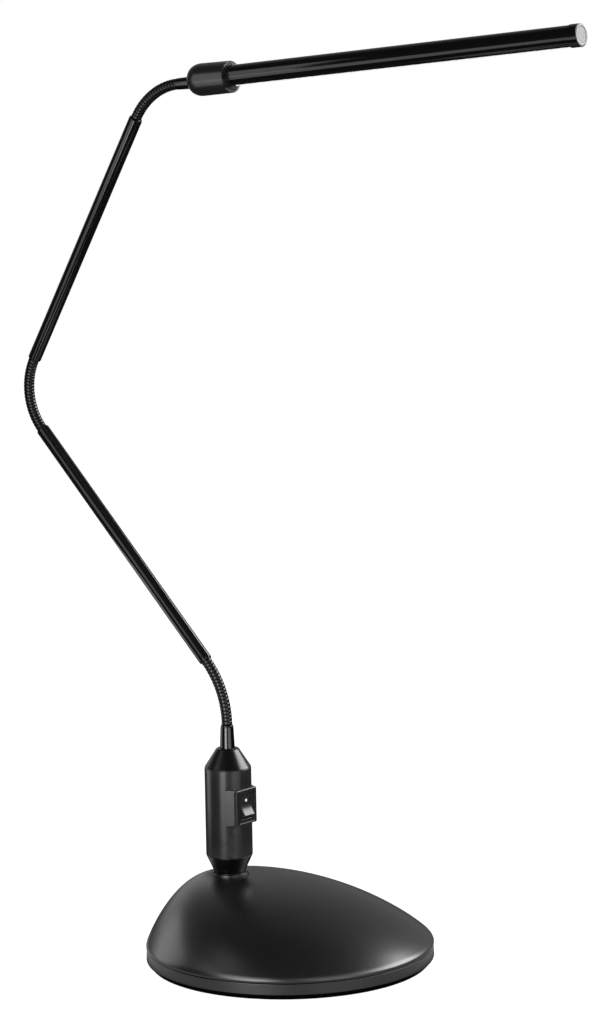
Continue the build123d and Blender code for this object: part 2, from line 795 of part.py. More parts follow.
def board_width():
    """As wide as the tube's bore allows at the board's far face."""
    bore = lamp_tube_radius - lamp_tube_wall
    depth = led_board_offset + led_board_thickness
    return min(led_board_width, 2 * math.sqrt(bore ** 2 - depth ** 2) - 2 * fit)


def led_chips():
    wide, long, tall = led_size
    count = 1 + int((slot_end() - slot_start() - led_first - long / 2) // led_pitch)
    chips = [Pos(-led_board_offset + tall / 2, 0, slot_start() + led_first + led_pitch * i) * Box(tall, wide, long)
             for i in range(count)]
    return group(on_tube(chip) for chip in chips)


def tube_plug():
    """Closes the tube's rear end; its shoulder keeps the tube from sliding out of the bush."""
    shoulder = tube_plug_shoulder + lamp_tube_radius
    inner = lamp_tube_radius - lamp_tube_wall - fit
    low = tube_rear - tube_plug_flange
    high = tube_rear + tube_plug_length
    plug = rod(shoulder, low, tube_rear) + rod(inner, tube_rear, high)
    return on_tube(plug - rod(tube_plug_bore, low - 1, high + 1))


def tube_end_ring():
    inner = lamp_tube_radius - lamp_tube_wall / 2 + fit
    ring = tube(end_ring_radius, inner, slot_end(), tube_front - end_cap_thickness)
    ring += tube(end_ring_radius, end_cap_radius + fit, tube_front - end_cap_thickness, tube_front)
    return on_tube(ring)


def tube_end_cap():
    low = tube_front - end_cap_thickness
    cap = rod(end_cap_radius, low, tube_front + end_cap_proud)
    cap += rod(lamp_tube_radius - lamp_tube_wall - fit, low - end_cap_spigot, low)
    return on_tube(fillet(cap.edges().sort_by(Axis.Z)[-1:], end_cap_edge))


# ---------------------------------------------------------------- all pieces
def all_parts():
    parts = {function.__name__: function() for function in (
        base_cover, base_pan, ballast_plate, ballast_screws, foot_pad, cover_screws, cord_grommet,
        terminal_block, driver_tray, driver_board, driver_transformer, driver_capacitor, swivel_bush,
        swivel_washer, column_foot, column_nut, column_washer, column_shell, switch_bezel, switch_body,
        switch_terminals, column_cap, column_ferrule, ferrule_nut, column_leads, switch_rocker, rocker_dot,
        head_ferrule, head_rear_cap, head_barrel, head_clear_ring, head_bush, head_tube, tube_plug,
        led_board, led_chips, tube_diffuser, tube_end_ring, tube_end_cap)}
    for name, (start, length, turn) in NECKS.items():
        points = hinge_points(start, length, turn)
        for i in range(neck_hinges - 1):
            parts[f"neck_{name}_link_{i + 1}"] = neck_link(points[i], points[i + 1])
    for name, point, length in (("lower", lower_tube_start, lower_tube_length),
                                ("upper", upper_tube_start, upper_tube_length)):
        parts[f"{name}_tube"] = arm_tube(point, length)
        parts[f"{name}_tube_plugs"] = arm_tube_plugs(point, length)
        parts[f"{name}_tube_lead"] = arm_tube_lead(point, length)
    return parts


os.makedirs("parts", exist_ok=True)
for node, shape in all_parts().items():
    export_step(shape, f"parts/{node}.step")
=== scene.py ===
import json
import math

import bmesh
import bpy
from mathutils import Matrix, Vector


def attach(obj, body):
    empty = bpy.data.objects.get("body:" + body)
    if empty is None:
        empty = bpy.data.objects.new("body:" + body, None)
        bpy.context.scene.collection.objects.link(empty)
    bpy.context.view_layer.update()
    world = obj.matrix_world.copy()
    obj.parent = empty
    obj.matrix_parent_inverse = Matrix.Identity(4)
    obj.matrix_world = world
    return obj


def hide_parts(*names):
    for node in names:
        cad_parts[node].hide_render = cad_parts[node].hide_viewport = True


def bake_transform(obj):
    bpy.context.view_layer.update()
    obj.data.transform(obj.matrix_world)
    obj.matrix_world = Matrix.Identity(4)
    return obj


# A gooseneck desk lamp. Sizes here are millimetres, turned into metres as each mesh is made.
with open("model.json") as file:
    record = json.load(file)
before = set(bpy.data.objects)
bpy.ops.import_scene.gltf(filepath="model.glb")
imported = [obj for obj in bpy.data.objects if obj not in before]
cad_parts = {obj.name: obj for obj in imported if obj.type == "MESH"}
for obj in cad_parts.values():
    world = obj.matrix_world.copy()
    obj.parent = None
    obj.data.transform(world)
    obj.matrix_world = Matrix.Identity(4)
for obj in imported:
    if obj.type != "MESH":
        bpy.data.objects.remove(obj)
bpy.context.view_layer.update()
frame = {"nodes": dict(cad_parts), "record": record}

MM = 0.001
TURNS = 144                     # segments round a turned piece
COLUMN_X = -48.4
SWITCH_TURN = -5.0
SWITCH_HEIGHT = 101.0
ROCKER_THROW = 28.0


# ---------------------------------------------------------------- places
def aimed(x, z, heading):
    """The place at (x, z) whose Z runs along the heading in the X-Z plane and whose Y stays Y."""
    c, s = math.cos(math.radians(heading)), math.sin(math.radians(heading))
    return Matrix(((s, 0, c, x), (0, 1, 0, 0), (-c, 0, s, z), (0, 0, 0, 1)))


def straight(point, length):
    """The (x, z, heading) that a straight run from this one ends with."""
    x, z, heading = point
    a = math.radians(heading)
    return x + length * math.cos(a), z + length * math.sin(a), heading


def bent(point, length, turn):
    """The (x, z, heading) that an arc from this one ends with."""
    x, z, heading = point
    half = math.radians(turn) / 2
    if abs(half) < 1e-9 or abs(length) < 1e-9:
        return straight(point, length)
    chord = length * math.sin(half) / half
    middle = math.radians(heading) + half
    return x + chord * math.cos(middle), z + chord * math.sin(middle), heading + turn


FERRULE_TOP = 154.5
LOWER_NECK, LOWER_TURN = 46.0, 42.4      # a neck's length, and how far it turns the arm at rest
MIDDLE_NECK, MIDDLE_TURN = 51.4, -71.9
UPPER_NECK, UPPER_TURN = 43.65, -56.1
LOWER_TUBE, UPPER_TUBE = 200.0, 187.1
HEAD_FERRULE, HEAD_LIFT = 12.1, 1.2      # the barrel's axis runs a little above the ferrule's
LAMP_LIFT, LAMP_TILT = 0.4, 0.7          # of the LED tube in the barrel, in mm and degrees

neck_lower = (COLUMN_X, FERRULE_TOP, 90.0)
tube_lower = bent(neck_lower, LOWER_NECK, LOWER_TURN)
neck_middle = straight(tube_lower, LOWER_TUBE)
tube_upper = bent(neck_middle, MIDDLE_NECK, MIDDLE_TURN)
neck_upper = straight(tube_upper, UPPER_TUBE)
head_start = bent(neck_upper, UPPER_NECK, UPPER_TURN)
head_x, head_z, head_heading = straight(head_start, HEAD_FERRULE)
head_angle = math.radians(head_heading)
HEAD = aimed(head_x - HEAD_LIFT * math.sin(head_angle), head_z + HEAD_LIFT * math.cos(head_angle),
             head_heading)
LAMP = (HEAD @ Matrix.Translation((-LAMP_LIFT, 0, 0))
        @ Matrix.Rotation(math.radians(-LAMP_TILT), 4, "Y"))
ON_COLUMN = Matrix.Translation((COLUMN_X, 0, 0))
ON_SWITCH = ON_COLUMN @ Matrix.Rotation(math.radians(SWITCH_TURN), 4, "Z")


# ---------------------------------------------------------------- mesh making
def soften(corners, closed=True, steps=6):
    """A flat outline with its corners rounded; each corner is (a, b) or (a, b, radius)."""
    outline, count = [], len(corners)
    for i, corner in enumerate(corners):
        here = Vector(corner[:2])
        radius = corner[2] if len(corner) > 2 else 0
        if not radius or (not closed and i in (0, count - 1)):
            outline.append(here)
            continue
        back = (Vector(corners[i - 1][:2]) - here).normalized()
        ahead = (Vector(corners[(i + 1) % count][:2]) - here).normalized()
        half = back.angle(ahead) / 2
        centre = here + (back + ahead).normalized() * (radius / math.sin(half))
        first = here + back * (radius / math.tan(half)) - centre
        last = here + ahead * (radius / math.tan(half)) - centre
        sweep = math.pi - 2 * half
        for k in range(steps + 1):
            t = k / steps
            before, after = math.sin((1 - t) * sweep), math.sin(t * sweep)
            outline.append(centre + (first * before + last * after) / math.sin(sweep))
    return outline


def mesh_object(name, shape, place):
    bmesh.ops.recalc_face_normals(shape, faces=shape.faces)
    shape.transform(Matrix.Scale(MM, 4) @ place)
    mesh = bpy.data.meshes.new(name)
    shape.to_mesh(mesh)
    shape.free()
    thing = bpy.data.objects.new(name, mesh)
    bpy.context.scene.collection.objects.link(thing)
    return thing


def loft(name, rings, place=Matrix.Identity(4), closed=False):
    """Joins rings of points, or single points, into one closed mesh."""
    shape = bmesh.new()
    made = [[shape.verts.new(p) for p in ring] for ring in rings]
    pairs = list(zip(made, made[1:])) + ([(made[-1], made[0])] if closed else [])
    for low, high in pairs:
        count = max(len(low), len(high))
        for i in range(count):
            j = (i + 1) % count
            corners = [low[i % len(low)], low[j % len(low)], high[j % len(high)], high[i % len(high)]]
            unique = [v for k, v in enumerate(corners) if v not in corners[:k]]
            shape.faces.new(unique)
    if not closed:
        for ring in (made[0], made[-1]):
            if len(ring) > 2:
                shape.faces.new(ring)
    return mesh_object(name, shape, place)


def ring_at(radius, height, x=0.0, turns=TURNS):
    """A level ring of points, or one point where the radius is nought."""
    if radius < 1e-6:
        return [Vector((x, 0, height))]
    angles = [2 * math.pi * i / turns for i in range(turns)]
    return [Vector((x + radius * math.cos(a), radius * math.sin(a), height)) for a in angles]


def turned(name, corners, place=Matrix.Identity(4), turns=TURNS, steps=6):
    """A solid of revolution from (radius, height[, rounding]) corners, closed on its axis or as a loop."""
    on_axis = corners[0][0] < 1e-6 and corners[-1][0] < 1e-6
    outline = soften(corners, closed=not on_axis, steps=steps)
    rings = [ring_at(p.x, p.y, turns=turns) for p in outline]
    return loft(name, rings, place, closed=not on_axis)


def rectangle(wide, high, corner, x, middle=0.0, steps=5):
    """A rounded rectangle across X: wide along Y, high along Z."""
    w, h = wide / 2, high / 2
    flat = soften([(-w, -h, corner), (w, -h, corner), (w, h, corner), (-w, h, corner)], steps=steps)
    return [Vector((x, p.x, p.y + middle)) for p in flat]


def cut(thing, cutters):
    """Takes the cutters out of a piece for good."""
    for cutter in cutters:
        change = thing.modifiers.new("cut", "BOOLEAN")
        change.operation, change.solver, change.object = "DIFFERENCE", "EXACT", cutter
    bpy.context.view_layer.update()
    made = bpy.data.meshes.new_from_object(thing.evaluated_get(bpy.context.evaluated_depsgraph_get()))
    thing.modifiers.clear()
    thing.data = made
    for cutter in cutters:
        bpy.data.objects.remove(cutter)
    return thing


def dress(thing, body, material, slot, *nodes, crease=32.0, even=True):
    """Smooth shading, material, body and the CAD nodes that a piece stands for."""
    mesh = thing.data
    mesh.shade_smooth()
    mesh.set_sharp_from_angle(angle=math.radians(crease))
    if even:
        change = thing.modifiers.new("even", "WEIGHTED_NORMAL")
        change.keep_sharp = True
    mesh.materials.clear()
    mesh.materials.append(material)
    if body:
        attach(thing, body)
    if nodes:
        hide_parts(*nodes)


# ---------------------------------------------------------------- shader nodes
def ramp(tree, value, low, high, start, end):
    """Goes from start to end while the value goes from low to high, and is held outside them."""
    node = tree.nodes.new("ShaderNodeMapRange")
    node.inputs["From Min"].default_value, node.inputs["From Max"].default_value = low, high
    node.inputs["To Min"].default_value, node.inputs["To Max"].default_value = start, end
    tree.links.new(value, node.inputs["Value"])
    return node.outputs["Result"]


def combined(tree, operation, first, second):
    """What a Math node makes of two values."""
    node = tree.nodes.new("ShaderNodeMath")
    node.operation = operation
    tree.links.new(first, node.inputs[0])
    tree.links.new(second, node.inputs[1])
    return node.outputs[0]


# ---------------------------------------------------------------- materials
def finish_of(name, colour, roughness, metallic=0.0, coat=0.0, grain=0.0, grain_size=0.3, tone=0.12,
              tone_size=14.0, spread=0.02, wear_and_highlight=0.0, wear_and_highlight_colour=(0.2, 0.2, 0.2), stretch=(1, 1, 1),
              alpha=1.0, ior=1.5, specular=0.5, glow=0.0):
    """A plain material with a fine grain, uneven tone and gloss, paler edges that are partly wear and
    partly painted highlight, and a painted glow when glow is set; lengths in mm.
    """
    made = bpy.data.materials.new(name)
    made.use_nodes = True
    tree = made.node_tree
    nodes, links = tree.nodes, tree.links
    shader = nodes["Principled BSDF"]
    place = nodes.new("ShaderNodeTexCoord").outputs["Object"]
    if stretch != (1, 1, 1):
        mapping = nodes.new("ShaderNodeMapping")
        mapping.inputs["Scale"].default_value = stretch
        links.new(place, mapping.inputs["Vector"])
        place = mapping.outputs["Vector"]

    def noise(size, detail):
        node = nodes.new("ShaderNodeTexNoise")
        node.inputs["Scale"].default_value = 1000 / size
        node.inputs["Detail"].default_value = detail
        links.new(place, node.inputs["Vector"])
        return node.outputs["Fac"]

    def between(pattern, start, end):
        """Spreads the middle of a noise pattern over start to end."""
        return ramp(tree, pattern, 0.3, 0.7, start, end)

    def mix(share, low, high):
        node = nodes.new("ShaderNodeMix")
        node.data_type = "RGBA"
        links.new(share, node.inputs["Factor"])
        for socket, value in ((node.inputs[6], low), (node.inputs[7], high)):
            if isinstance(value, tuple):
                socket.default_value = (*value[:3], 1)
            else:
                links.new(value, socket)
        return node.outputs[2]

    darker = tuple(c * (1 - tone) for c in colour)
    lighter = tuple(c * (1 + tone) for c in colour)
    shade = mix(between(noise(tone_size, 3), 0, 1), darker, lighter)
    # paler convex edges by Pointiness: partly wear, partly a painted highlight along the edges
    if wear_and_highlight:
        edge = nodes.new("ShaderNodeNewGeometry").outputs["Pointiness"]
        worn_and_lit_edge = ramp(tree, edge, 0.53, 0.62, 0, wear_and_highlight)
        wear_and_highlight_mask = combined(tree, "MULTIPLY", worn_and_lit_edge, between(noise(2.5, 4), 0.2, 1.0))
        shade = mix(wear_and_highlight_mask, shade, wear_and_highlight_colour)
    links.new(shade, shader.inputs["Base Color"])
    gloss = between(noise(tone_size / 3, 4), max(0.02, roughness - spread), min(1, roughness + spread))
    links.new(gloss, shader.inputs["Roughness"])
    if grain:
        bump = nodes.new("ShaderNodeBump")
        bump.inputs["Strength"].default_value = 1.0
        bump.inputs["Distance"].default_value = grain * MM
        links.new(noise(grain_size, 2), bump.inputs["Height"])
        links.new(bump.outputs["Normal"], shader.inputs["Normal"])
    shader.inputs["Metallic"].default_value = metallic
    shader.inputs["IOR"].default_value = ior
    shader.inputs["Specular IOR Level"].default_value = specular
    shader.inputs["Coat Weight"].default_value = coat
    shader.inputs["Coat Roughness"].default_value = 0.05
    shader.inputs["Alpha"].default_value = alpha
    # painted light: the surface glows with its own colour
    if glow:
        links.new(shade, shader.inputs["Emission Color"])
        shader.inputs["Emission Strength"].default_value = glow
    return made


BASE = finish_of("base_satin", (0.0018, 0.0018, 0.0019), 0.31, specular=0.8, grain=0.008, grain_size=0.35,
                 spread=0.012, tone=0.06)
# the edge settings below make convex edges paler: partly wear, partly painted highlight
COLUMN = finish_of("column_satin", (0.0135, 0.0137, 0.0144), 0.25, grain=0.004, grain_size=0.3, wear_and_highlight=0.5,
                   wear_and_highlight_colour=(0.09, 0.09, 0.095))
GLOSS = finish_of("gloss_black", (0.0015, 0.0015, 0.0016), 0.27, grain=0.004, grain_size=0.5, tone=0.2,
                  wear_and_highlight=0.3, wear_and_highlight_colour=(0.05, 0.05, 0.05))
BARREL = finish_of("barrel_satin", (0.0125, 0.0128, 0.0137), 0.25, specular=0.8, grain=0.004, wear_and_highlight=0.5,
                   wear_and_highlight_colour=(0.08, 0.08, 0.085))
SWITCH = finish_of("switch_black", (0.01, 0.01, 0.0105), 0.28, grain=0.006, grain_size=0.25, wear_and_highlight=0.5,
                   wear_and_highlight_colour=(0.08, 0.08, 0.08))
ROCKER = finish_of("rocker_black", (0.014, 0.0143, 0.015), 0.27, grain=0.004, grain_size=0.25, wear_and_highlight=0.4,
                   wear_and_highlight_colour=(0.12, 0.12, 0.12))
PRINT = finish_of("dot_white", (0.82, 0.82, 0.82), 0.4, grain=0.004, grain_size=0.2, tone=0.04)
TUBE = finish_of("tube_gloss", (0.003, 0.003, 0.0031), 0.12, coat=0.2, grain=0.002, grain_size=1.2,
                 tone=0.15, wear_and_highlight=0.3, wear_and_highlight_colour=(0.06, 0.06, 0.06))
COIL = finish_of("coil_black", (0.003, 0.003, 0.0031), 0.28, grain=0.004, grain_size=0.4, tone=0.2,
                 wear_and_highlight=0.4, wear_and_highlight_colour=(0.05, 0.05, 0.05))
FERRULE = finish_of("ferrule_plated", (0.075, 0.075, 0.078), 0.19, metallic=1.0, grain=0.002,
                    grain_size=0.4, stretch=(1, 1, 0.1), tone=0.2)
CLEAR = finish_of("clear_plastic", (0.03, 0.03, 0.031), 0.12, alpha=0.25, specular=0.2, ior=1.49, tone=0.02)
FROST = finish_of("cap_frosted", (0.32, 0.32, 0.33), 0.4, grain=0.02, grain_size=0.8, tone=0.08,
                  tone_size=4.0)
# painted light: the milky lens glows with its own colour so that it shows near white; no lamp shines from
# the tube
LENS = finish_of("lens_milky", (0.8, 0.8, 0.79), 0.3, grain=0.004, grain_size=0.4, tone=0.05, glow=0.7)
INNER = finish_of("inner_black", (0.03, 0.03, 0.03), 0.5, grain=0.01, grain_size=0.4)
NYLON = finish_of("nylon", (0.7, 0.7, 0.68), 0.45, grain=0.006, grain_size=0.4, tone=0.06)
RUBBER = finish_of("rubber", (0.018, 0.018, 0.018), 0.8, grain=0.02, grain_size=0.25)
IRON = finish_of("ballast_steel", (0.16, 0.16, 0.165), 0.45, metallic=0.8, grain=0.02, grain_size=0.9,
                 tone=0.25)
ZINC = finish_of("zinc_steel", (0.5, 0.5, 0.51), 0.3, metallic=1.0, grain=0.004, grain_size=0.4, tone=0.1)
BRASS = finish_of("brass", (0.6, 0.46, 0.2), 0.3, metallic=1.0, grain=0.003, grain_size=0.4)
ALUMINIUM = finish_of("aluminium", (0.6, 0.6, 0.62), 0.35, metallic=1.0, grain=0.004, grain_size=0.4)
BOARD = finish_of("board_white", (0.72, 0.73, 0.7), 0.3, grain=0.004, grain_size=0.5, tone=0.05)
CHIP = finish_of("chip_yellow", (0.8, 0.7, 0.3), 0.3, grain=0.004, grain_size=0.3, tone=0.06)

SLOT_FINISH = {
    "base_plastic": BASE, "column_plastic": COLUMN, "gloss_black": GLOSS, "barrel_plastic": BARREL,
    "switch_plastic": SWITCH, "dot_white": PRINT, "tube_black": TUBE, "neck_coil": COIL,
    "ferrule_metal": FERRULE, "clear_plastic": CLEAR, "cap_frosted": FROST, "diffuser_white": LENS,
    "led_yellow": CHIP, "circuit_board": BOARD, "inner_plastic": INNER, "white_plastic": NYLON,
    "foot_rubber": RUBBER, "grommet_rubber": RUBBER, "ballast_steel": IRON, "screw_steel": ZINC,
    "terminal_brass": BRASS, "can_aluminium": ALUMINIUM, "lead_insulation": RUBBER,
}
# painted shade: the bush shows through the clear ring and takes the dark inner finish in place of its own,
# so that it looks black there
for row in frame["record"]["subparts"]:
    node = frame["nodes"][row["node"]]
    node.data.materials.clear()
    node.data.materials.append(INNER if row["node"] == "head_bush" else SLOT_FINISH[row["material_slot"]])
    node.data.shade_smooth()
    node.data.set_sharp_from_angle(angle=math.radians(32))


# ---------------------------------------------------------------- base
BASE_TURNS = 240
BASE_R = 95.3
COVER_LOW, DOME_LOW, COVER_WALL, RISE = 11.8, 14.0, 2.4, 39.4
NARROWING = 82.0                # how much smaller the dome's ring at the column is than its rim
COLLAR_R, COLLAR_BORE, COLLAR_LOW, COLLAR_TOP = 13.0, 9.05, 40.4, 54.6


def dome_height(share):
    """How far the dome has risen at this share of its way from rim to column: a superellipse."""
    return RISE * (1 - (1 - share) ** 2.08) ** (1 / 1.12)


def dome_ring(share, height, inset=0.0):
    return ring_at(BASE_R - NARROWING * share - inset, height, x=COLUMN_X * share, turns=BASE_TURNS)


def base_cover():
    rings = [ring_at(BASE_R - inset, COVER_LOW + rise, turns=BASE_TURNS)
             for inset, rise in ((0.35, 0), (0.1, 0.1), (0, 0.35))]
    knee = 0.02                      # where the rounding between side and dome ends
    low, mid, top = 12.9, 14.27, DOME_LOW + dome_height(knee)
    for k in range(9):
        t = k / 8
        height = (1 - t) ** 2 * low + 2 * t * (1 - t) * mid + t * t * top
        rings.append(dome_ring(knee * t * t, height))
    for k in range(1, 61):
        t = k / 60
        share = knee + (1 - knee) * (1 - (1 - t) ** 1.35) * 0.999
        rings.append(dome_ring(share, DOME_LOW + dome_height(share)))
    collar = soften([(COLLAR_R, 53.35), (COLLAR_R, COLLAR_TOP, 0.35), (COLLAR_BORE, COLLAR_TOP, 0.2),
                     (COLLAR_BORE, COLLAR_LOW)], closed=False)
    rings += [ring_at(p.x, p.y, x=COLUMN_X, turns=BASE_TURNS) for p in collar]
    rings += [ring_at(12.5, height, x=COLUMN_X, turns=BASE_TURNS) for height in (COLLAR_LOW, 50.0)]
    for k in range(16, -1, -1):
        share = k / 17
        rings.append(dome_ring(share, DOME_LOW - COVER_WALL + dome_height(share), COVER_WALL))
    return loft("lamp_base_cover", rings, closed=True)


dress(base_cover(), "base", BASE, "base_plastic", "base_cover")

PAN_LOW, PAN_TOP, PAN_INNER, PAN_FLOOR = 0.5, 11.3, 93.3, 4.0
pan = turned("lamp_base_pan", [(0, PAN_LOW), (91.9, PAN_LOW, 0.8), (BASE_R, 4.1, 1.2),
                               (BASE_R - 0.3, PAN_TOP, 0.3), (PAN_INNER, PAN_TOP, 0.2),
                               (PAN_INNER, PAN_FLOOR, 0.5), (0, PAN_FLOOR)],
             turns=BASE_TURNS, steps=8)


def disc_cutter(x, y, radius, low, high):
    corners = [(0, low), (radius, low), (radius, high), (0, high)]
    return turned("cutter", corners, Matrix.Translation((x, y, 0)), turns=48)


DISC_R, DISC_TOP, SCREW_CIRCLE, SCREW_HOLE = 64.0, 1.6, 72, 3.3
CORD_HEIGHT, CORD_HOLE = 7.6, 2.9
holes = [disc_cutter(0, 0, DISC_R + 0.05, -1, DISC_TOP)]
for angle in (0, 120, 240):
    a = math.radians(angle)
    holes.append(disc_cutter(SCREW_CIRCLE * math.cos(a), SCREW_CIRCLE * math.sin(a), SCREW_HOLE, -1, 3.0))
along_cord = Matrix.Translation((0, 0, CORD_HEIGHT)) @ Matrix.Rotation(math.radians(90), 4, "Y")
holes.append(turned("cutter", [(0, -98), (CORD_HOLE, -98), (CORD_HOLE, -90), (0, -90)], along_cord,
                    turns=48))
dress(cut(pan, holes), "base", BASE, "base_plastic", "base_pan")
dress(turned("lamp_foot_pad", [(0, 0), (DISC_R, 0, 0.4), (DISC_R, DISC_TOP), (0, DISC_TOP)]),
      "base", RUBBER, "foot_rubber", "foot_pad")

# ---------------------------------------------------------------- column
WASHER_TOP, CAP_TOP = 55.2, 138.9
SHELL_R, SHELL_BORE, SHELL_LOW, SHELL_TOP = 15.6, 13.4, 66.7, 126.1
SPIGOT_R = 13.35                # of the foot and the cap, inside the shell's ends
PAD_FACE, PAD_HALF, PAD_ROOT = 13.9, 10.25, 12.85
PAD_LOW, PAD_TOP = SWITCH_HEIGHT - 12.0, SWITCH_HEIGHT + 12.0
WINDOW_WIDE, WINDOW_HIGH = 6.55, 9.55      # half the sizes of the switch's opening
GROOVE = 1.2                    # depth of the shadow line above and below the pad

dress(turned("lamp_swivel_washer", [(7.1, COLLAR_TOP), (12.1, COLLAR_TOP, 0.2), (12.1, WASHER_TOP, 0.2),
                                    (7.1, WASHER_TOP)], ON_COLUMN),
      "column", GLOSS, "gloss_black", "swivel_washer")
dress(turned("lamp_column_foot", [(4.5, 33.4), (7.0, 33.4, 0.3), (7.0, WASHER_TOP), (10.6, WASHER_TOP, 0.3),
                                  (11.7, 58.2, 0.8), (SHELL_R, SHELL_LOW, 0.35), (SPIGOT_R, SHELL_LOW),
                                  (SPIGOT_R, 70.6), (11.2, 70.6), (11.2, 65.8), (4.5, 59.4)], ON_COLUMN),
      "column", GLOSS, "gloss_black", "column_foot")


def pad_radius(angle, swell):
    """Radius of the shell at this angle from the switch's front.
    Swell 1 gives the switch pad, 0 the plain cylinder and -1 the groove."""
    c, s = math.cos(angle), abs(math.sin(angle))
    root_x = math.sqrt(SHELL_R ** 2 - PAD_ROOT ** 2)
    if c <= 0 or s * root_x > c * PAD_ROOT:
        return SHELL_R
    if s * PAD_FACE <= c * PAD_HALF:
        radius = PAD_FACE / c
    else:                            # the slanted side between the face's edge and the root
        dx, dy = root_x - PAD_FACE, PAD_ROOT - PAD_HALF
        radius = (PAD_FACE * dy - PAD_HALF * dx) / (c * dy - s * dx)
    if swell < 0:
        return SHELL_R - min(GROOVE, max(0.0, radius - SHELL_R))
    return SHELL_R + (radius - SHELL_R) * swell


def shell_angles():
    """Even angles round the shell, with more at the pad's and the opening's edges."""
    beside, apart = 0.012, 0.004
    marks = [math.atan2(PAD_ROOT, math.sqrt(SHELL_R ** 2 - PAD_ROOT ** 2)), math.atan2(PAD_HALF, PAD_FACE),
             math.atan2(WINDOW_WIDE, PAD_FACE)]
    half = sorted(set([0.0] + marks + [m - beside for m in marks[:2]] + [m + beside for m in marks[:2]]
                      + [i * math.pi / 90 for i in range(91)]))
    keep = [half[0]]
    for a in half[1:]:
        if a - keep[-1] > apart:
            keep.append(a)
    return keep + [-a for a in reversed(keep[1:-1])]


def column_shell():
    angles = shell_angles()
    # each level's height and swell; the window goes from level 9 to level 11
    levels = [(SHELL_LOW, 0), (SHELL_LOW + 0.3, 0), (PAD_LOW - 1.1, 0), (PAD_LOW - 0.9, -1), (PAD_LOW, -1),
              (PAD_LOW, 0.5), (PAD_LOW + 0.02, 0.92), (PAD_LOW + 0.12, 0.98), (PAD_LOW + 0.3, 1),
              (SWITCH_HEIGHT - WINDOW_HIGH, 1), (SWITCH_HEIGHT, 1), (SWITCH_HEIGHT + WINDOW_HIGH, 1),
              (PAD_TOP - 0.3, 1), (PAD_TOP - 0.12, 0.98), (PAD_TOP - 0.02, 0.92), (PAD_TOP, 0.5),
              (PAD_TOP, -1), (PAD_TOP + 0.9, -1), (PAD_TOP + 1.1, 0), (SHELL_TOP - 0.3, 0), (SHELL_TOP, 0)]
    shape = bmesh.new()
    outer, inner = [], []
    for k, (level, swell) in enumerate(levels):
        rim = 0.3 if k in (0, len(levels) - 1) else 0.0
        outer.append([shape.verts.new(((pad_radius(a, swell) - rim) * math.cos(a),
                                       (pad_radius(a, swell) - rim) * math.sin(a), level)) for a in angles])
        inner.append([shape.verts.new((SHELL_BORE * math.cos(a), SHELL_BORE * math.sin(a), level))
                      for a in angles])
    window_low, window_high = 9, 11
    edge = math.atan2(WINDOW_WIDE, PAD_FACE)
    count = len(angles)
    opened = {(k, i) for k in range(window_low, window_high) for i in range(count)
              if abs((angles[i] + angles[(i + 1) % count]) / 2) < edge and abs(angles[i]) <= edge + 1e-6}
    for k in range(len(levels) - 1):
        for i in range(count):
            j = (i + 1) % count
            if (k, i) in opened:
                continue
            if levels[k] != levels[k + 1]:
                shape.faces.new([outer[k][i], outer[k][j], outer[k + 1][j], outer[k + 1][i]])
                if levels[k][0] != levels[k + 1][0]:
                    shape.faces.new([inner[k][i], inner[k + 1][i], inner[k + 1][j], inner[k][j]])
            if (k, j) in opened:
                shape.faces.new([outer[k][j], inner[k][j], inner[k + 1][j], outer[k + 1][j]])
            if (k, (i - 1) % count) in opened:
                shape.faces.new([outer[k][i], outer[k + 1][i], inner[k + 1][i], inner[k][i]])
    for i in range(count):
        j = (i + 1) % count
        shape.faces.new([outer[0][i], inner[0][i], inner[0][j], outer[0][j]])
        shape.faces.new([outer[-1][i], outer[-1][j], inner[-1][j], inner[-1][i]])
        if (window_low, i) in opened:
            shape.faces.new([outer[window_low][i], outer[window_low][j],
                             inner[window_low][j], inner[window_low][i]])
            shape.faces.new([outer[window_high][i], inner[window_high][i],
                             inner[window_high][j], outer[window_high][j]])
    bmesh.ops.remove_doubles(shape, verts=shape.verts, dist=0.001)
    return mesh_object("lamp_column_shell", shape, ON_SWITCH)


dress(column_shell(), "column", COLUMN, "column_plastic", "column_shell", crease=28)

BEZEL_FRONT, FLANGE_FRONT = 16.2, 15.8


def framed(name, sections, closed=False):
    """A loft through rounded rectangles (wide, high, corner, depth) about the switch's middle."""
    rings = [rectangle(wide, high, corner, x, SWITCH_HEIGHT) for wide, high, corner, x in sections]
    return loft(name, rings, ON_SWITCH, closed=closed)


bezel = framed("lamp_switch_bezel", [
    (20.5, 24.0, 0.8, PAD_FACE), (20.5, 24.0, 0.8, 15.4), (20.38, 23.88, 0.76, 15.71),
    (20.03, 23.53, 0.7, 15.97), (19.51, 23.01, 0.6, 16.14), (18.9, 22.4, 0.5, BEZEL_FRONT),
    (15.5, 21.5, 0.7, BEZEL_FRONT), (15.2, 21.2, 0.6, 16.1), (15.1, 21.1, 0.6, 15.9),
    (15.1, 21.1, 0.6, PAD_FACE)], closed=True)
dress(bezel, "column", COLUMN, "column_plastic", "switch_bezel")

switch_body = framed("lamp_switch_body", [
    (12.4, 18.4, 0.4, 2.5), (13.0, 19.0, 0.5, 2.8), (13.0, 19.0, 0.5, PAD_FACE),
    (15.0, 21.0, 0.6, PAD_FACE), (15.0, 21.0, 0.6, 15.45), (14.8, 20.8, 0.55, 15.7),
    (14.5, 20.5, 0.5, FLANGE_FRONT), (10.8, 16.7, 0.5, FLANGE_FRONT), (10.5, 16.4, 0.4, 15.7),
    (10.4, 16.3, 0.4, 15.5), (10.4, 16.3, 0.4, 6.6)])
dress(switch_body, "column", SWITCH, "switch_plastic", "switch_body")

# ---------------------------------------------------------------- rocker
PIVOT_X = 12.6
ROCKER_PLACE = (ON_SWITCH @ Matrix.Translation((PIVOT_X, 0, SWITCH_HEIGHT))
                @ Matrix.Rotation(math.radians(-ROCKER_THROW / 2), 4, "Y"))


